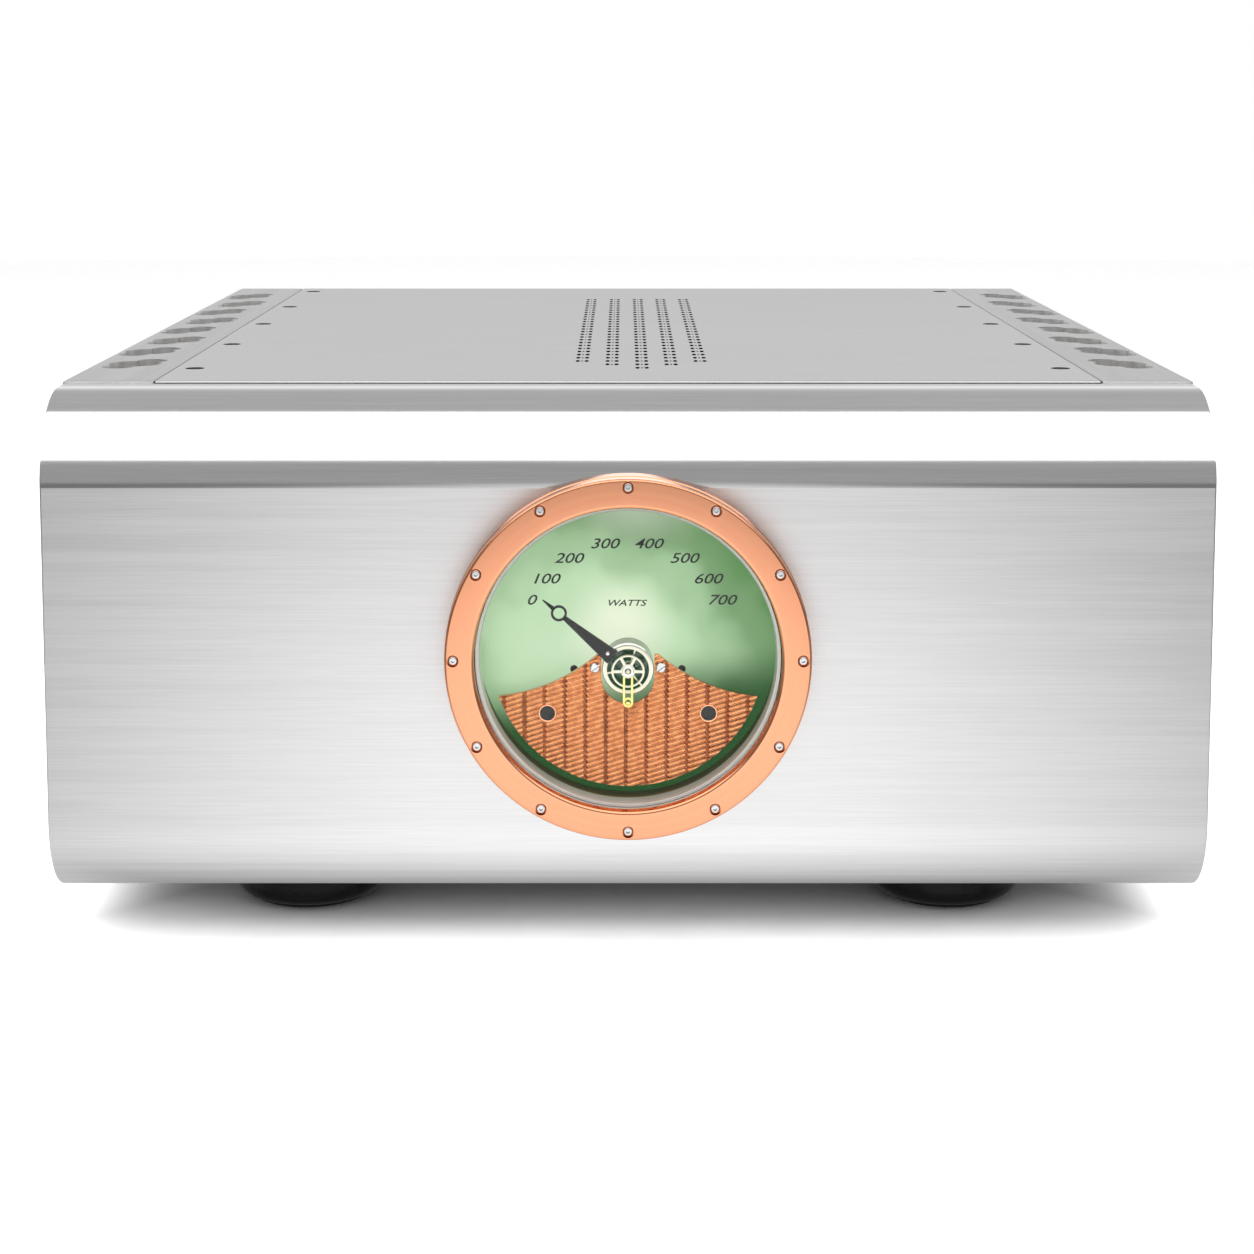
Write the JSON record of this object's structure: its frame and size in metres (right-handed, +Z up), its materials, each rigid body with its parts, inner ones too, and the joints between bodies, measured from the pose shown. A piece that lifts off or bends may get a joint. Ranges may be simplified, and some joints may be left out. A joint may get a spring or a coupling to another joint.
{
  "type": "power amplifier",
  "caption": "Wide brushed-aluminium mono power amplifier with a round copper-rimmed power meter, side chimney heat sinks and rear sockets.",
  "frame": {"origin": "on the floor under the feet, below the middle of the overall length and width", "axes": "+Z up; the front panel faces -Y; +X is to the right seen from the front"},
  "size_m": [0.45, 0.5734, 0.225],
  "materials": {
    "brushed_aluminium": "fine horizontal brushing on the face, polished rounded edges",
    "satin_aluminium": "bead-blasted satin",
    "copper": "satin front with polished edges, rose copper",
    "engraved_copper": "engine-turned waves",
    "polished_silver": "polished",
    "brass": "satin",
    "gold": "polished plating",
    "movement_gilt": "polished pale gilt",
    "steel": "polished",
    "black_metal": "satin black anodised",
    "rubber": "matt",
    "glass": "clear, flat",
    "dial": "back-lit mint green with black numerals",
    "pointer_black": "satin black",
    "black_plastic": "moulded",
    "circuit_board": "solder mask",
    "winding_varnish": "varnished windings",
    "sleeve": "shrink sleeve"
  },
  "bodies": {
    "amplifier": {"front_panel": "brushed_aluminium", "top_cover": "satin_aluminium", "heat_sink_left": "satin_aluminium", "heat_sink_right": "satin_aluminium", "bottom_plate": "satin_aluminium", "rear_panel": "satin_aluminium", "meter_bezel": "copper", "meter_glass": "glass", "glass_retainer": "polished_silver", "meter_housing": "brass", "dial_plate": "dial", "dial_backlight": "circuit_board", "sector_plate": "engraved_copper", "movement_barrel": "polished_silver", "movement_bridge": "movement_gilt", "post_stud_left": "gold", "post_stud_right": "gold", "toggle_bush": "steel", "mains_inlet": "black_plastic", "xlr_socket": "black_plastic", "rca_socket": "gold", "power_transformer": "winding_varnish", "transformer_clamp": "steel", "output_board_left": "circuit_board", "output_board_right": "circuit_board", "input_board": "circuit_board", "foot_front_left": "black_metal", "foot_pad_front_left": "rubber", "foot_front_right": "black_metal", "foot_pad_front_right": "rubber", "foot_rear_left": "black_metal", "foot_pad_rear_left": "rubber", "foot_rear_right": "black_metal", "foot_pad_rear_right": "rubber", "bezel_screw_01": "steel", "bezel_screw_02": "steel", "bezel_screw_03": "steel", "bezel_screw_04": "steel", "bezel_screw_05": "steel", "bezel_screw_06": "steel", "bezel_screw_07": "steel", "bezel_screw_08": "steel", "bezel_screw_09": "steel", "bezel_screw_10": "steel", "bezel_screw_11": "steel", "bezel_screw_12": "steel", "capacitor_1": "sleeve", "capacitor_2": "sleeve", "capacitor_3": "sleeve", "capacitor_4": "sleeve"},
    "pointer": {"pointer": "pointer_black", "pointer_arbor": "movement_gilt"},
    "standby_button": {"standby_button": "steel"},
    "mains_rocker": {"mains_rocker": "black_plastic"},
    "toggle_lever": {"toggle_lever": "steel"},
    "xlr_latch": {"xlr_latch": "steel"},
    "post_washer_left": {"post_washer_left": "gold"},
    "post_knob_left": {"post_knob_left": "gold"},
    "post_washer_right": {"post_washer_right": "gold"},
    "post_knob_right": {"post_knob_right": "gold"}
  },
  "joints": [
    {"name": "pointer_swing", "type": "hinge", "parent": "amplifier", "child": "pointer", "pos_m": [0, -0.27135, 0.1186], "axis": [0, 1, 0], "range_deg": [0, 100], "stiffness_Nm_per_rad": 0.00002},
    {"name": "standby_press", "type": "slide", "parent": "amplifier", "child": "standby_button", "axis": [0, 0, 1], "range_m": [0, 0.002], "stiffness_N_per_m": 400, "springref_m": -0.001},
    {"name": "mains_rocker_tilt", "type": "hinge", "parent": "amplifier", "child": "mains_rocker", "pos_m": [-0.122, 0.24765, 0.114], "axis": [1, 0, 0], "range_deg": [0, 16]},
    {"name": "toggle_lever_tilt", "type": "hinge", "parent": "amplifier", "child": "toggle_lever", "pos_m": [0.078, 0.24865, 0.15], "axis": [1, 0, 0], "range_deg": [0, 24]},
    {"name": "xlr_latch_press", "type": "slide", "parent": "amplifier", "child": "xlr_latch", "axis": [0, -1, 0], "range_m": [0, 0.0015], "stiffness_N_per_m": 300},
    {"name": "post_washer_left_slide", "type": "slide", "parent": "amplifier", "child": "post_washer_left", "axis": [0, 1, 0], "range_m": [0, 0.005]},
    {"name": "post_knob_left_turn", "type": "hinge", "parent": "post_washer_left", "child": "post_knob_left", "pos_m": [-0.034, 0.24865, 0.08], "axis": [0, 1, 0], "range_deg": [0, 900]},
    {"name": "post_washer_right_slide", "type": "slide", "parent": "amplifier", "child": "post_washer_right", "axis": [0, 1, 0], "range_m": [0, 0.005]},
    {"name": "post_knob_right_turn", "type": "hinge", "parent": "post_washer_right", "child": "post_knob_right", "pos_m": [0.034, 0.24865, 0.08], "axis": [0, 1, 0], "range_deg": [0, 900]}
  ],
  "couplings": [
    {"joint": "post_knob_left_turn", "follows": "post_washer_left_slide", "rad_per_m": 3141.6},
    {"joint": "post_knob_right_turn", "follows": "post_washer_right_slide", "rad_per_m": 3141.6}
  ]
}
